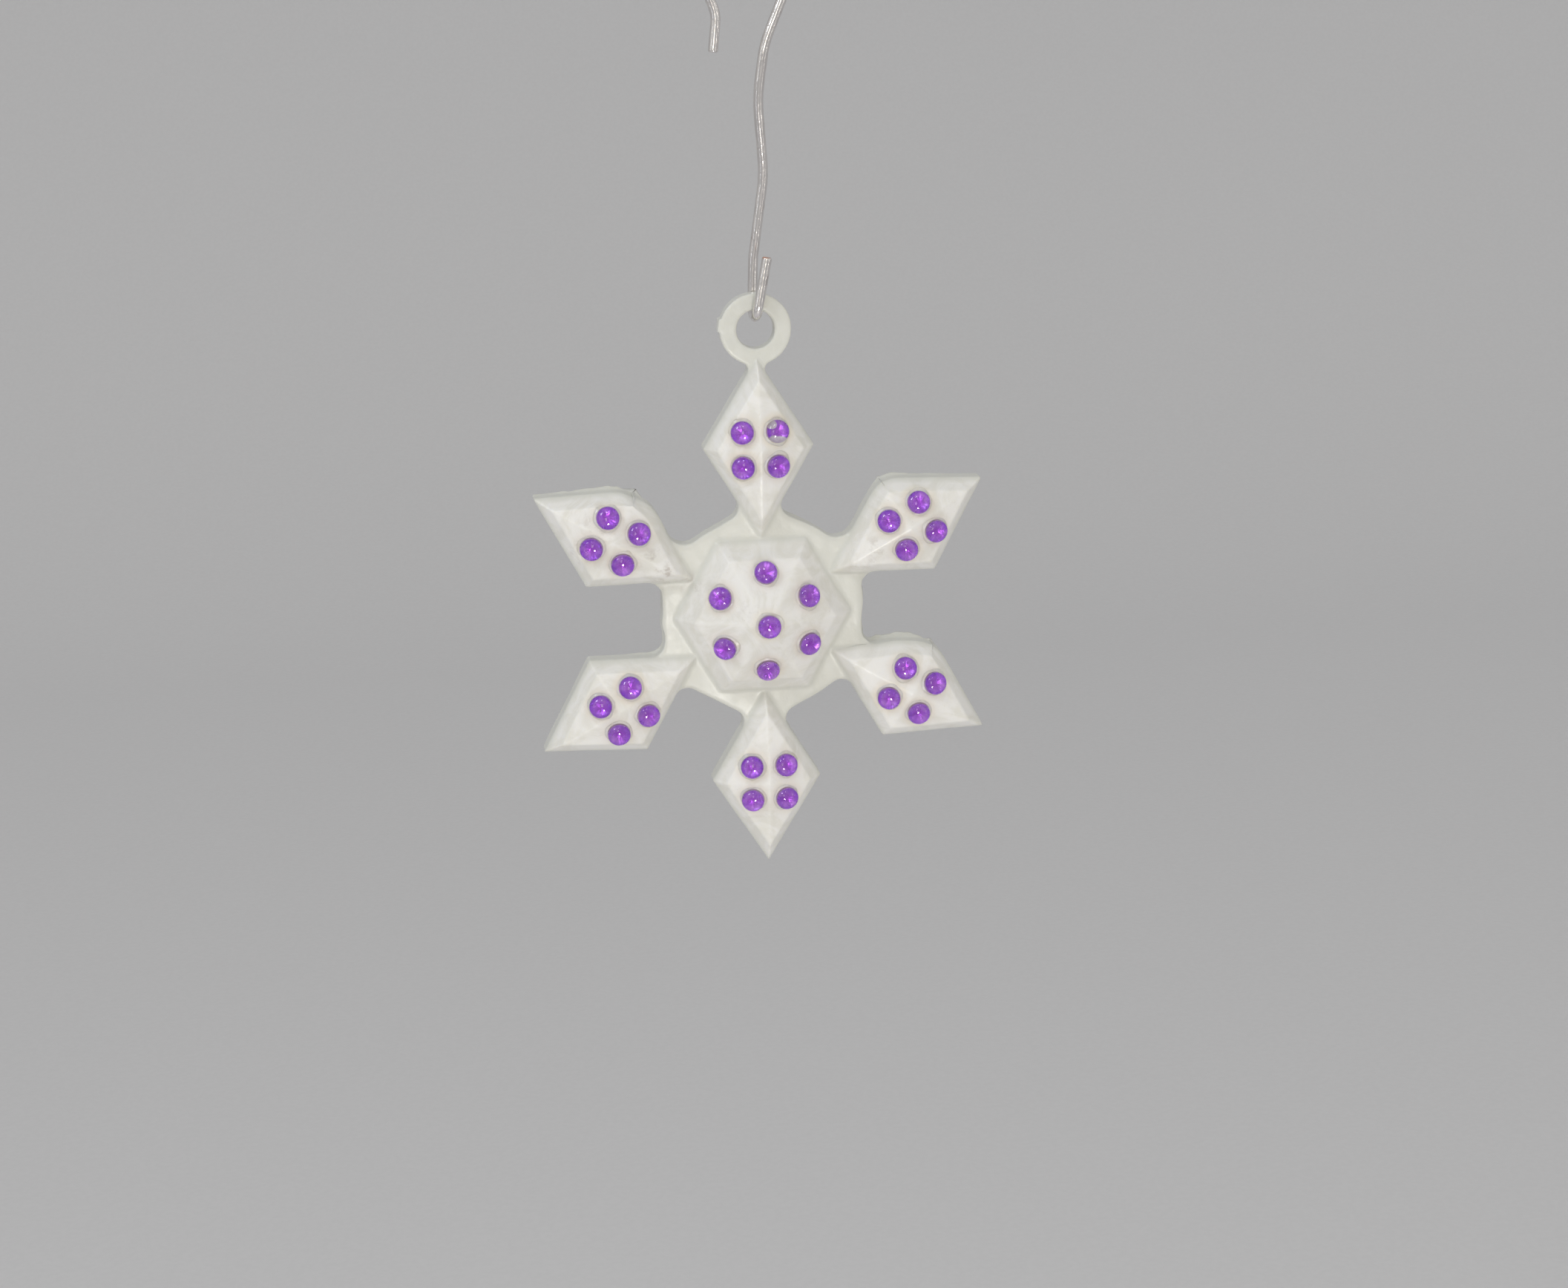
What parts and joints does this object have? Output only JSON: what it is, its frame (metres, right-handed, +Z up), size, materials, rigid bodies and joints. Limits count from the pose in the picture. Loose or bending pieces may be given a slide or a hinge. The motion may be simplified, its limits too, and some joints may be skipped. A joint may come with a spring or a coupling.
{
  "type": "snowflake ornament",
  "caption": "Flat-backed moulded plastic snowflake with faceted arms and hub, domed glued rhinestones and a hanging ring, swinging on a bent wire hook.",
  "frame": {"origin": "inside top of the hook's crook, where it rests on a branch, in the middle plane of the hanging ring", "axes": "+Z up, the snowflake's decorated front faces -Y, +X to the viewer's right when the front is looked at"},
  "size_m": [0.0382, 0.0077, 0.0788],
  "materials": {
    "pearl_plastic": "pearl white with a soft sheen, slightly translucent",
    "violet_stone": "glossy domed flat-back stones with a coloured backing",
    "glue": "clear glue, slightly yellowed",
    "plated_wire": "bright plated wire"
  },
  "bodies": {
    "hanger": {"wire_hook": "plated_wire"},
    "star": {"snowflake_body": "pearl_plastic", "glue_upper_right_arm": "glue", "rhinestone_upper_right_1": "violet_stone", "rhinestone_upper_right_2": "violet_stone", "rhinestone_upper_right_3": "violet_stone", "rhinestone_upper_right_4": "violet_stone", "glue_top_arm": "glue", "rhinestone_top_1": "violet_stone", "rhinestone_top_2": "violet_stone", "rhinestone_top_3": "violet_stone", "rhinestone_top_4": "violet_stone", "glue_upper_left_arm": "glue", "rhinestone_upper_left_1": "violet_stone", "rhinestone_upper_left_2": "violet_stone", "rhinestone_upper_left_3": "violet_stone", "rhinestone_upper_left_4": "violet_stone", "glue_lower_left_arm": "glue", "rhinestone_lower_left_1": "violet_stone", "rhinestone_lower_left_2": "violet_stone", "rhinestone_lower_left_3": "violet_stone", "rhinestone_lower_left_4": "violet_stone", "glue_bottom_arm": "glue", "rhinestone_bottom_1": "violet_stone", "rhinestone_bottom_2": "violet_stone", "rhinestone_bottom_3": "violet_stone", "rhinestone_bottom_4": "violet_stone", "glue_lower_right_arm": "glue", "rhinestone_lower_right_1": "violet_stone", "rhinestone_lower_right_2": "violet_stone", "rhinestone_lower_right_3": "violet_stone", "rhinestone_lower_right_4": "violet_stone", "glue_hub": "glue", "rhinestone_hub_upper_right": "violet_stone", "rhinestone_hub_top": "violet_stone", "rhinestone_hub_upper_left": "violet_stone", "rhinestone_hub_lower_left": "violet_stone", "rhinestone_hub_bottom": "violet_stone", "rhinestone_hub_lower_right": "violet_stone", "rhinestone_hub_centre": "violet_stone"}
  },
  "joints": [
    {"name": "star_swing", "type": "hinge", "parent": "hanger", "child": "star", "pos_m": [0, 0, -0.0306], "axis": [0, 1, 0], "range_deg": [-110, 110]}
  ]
}
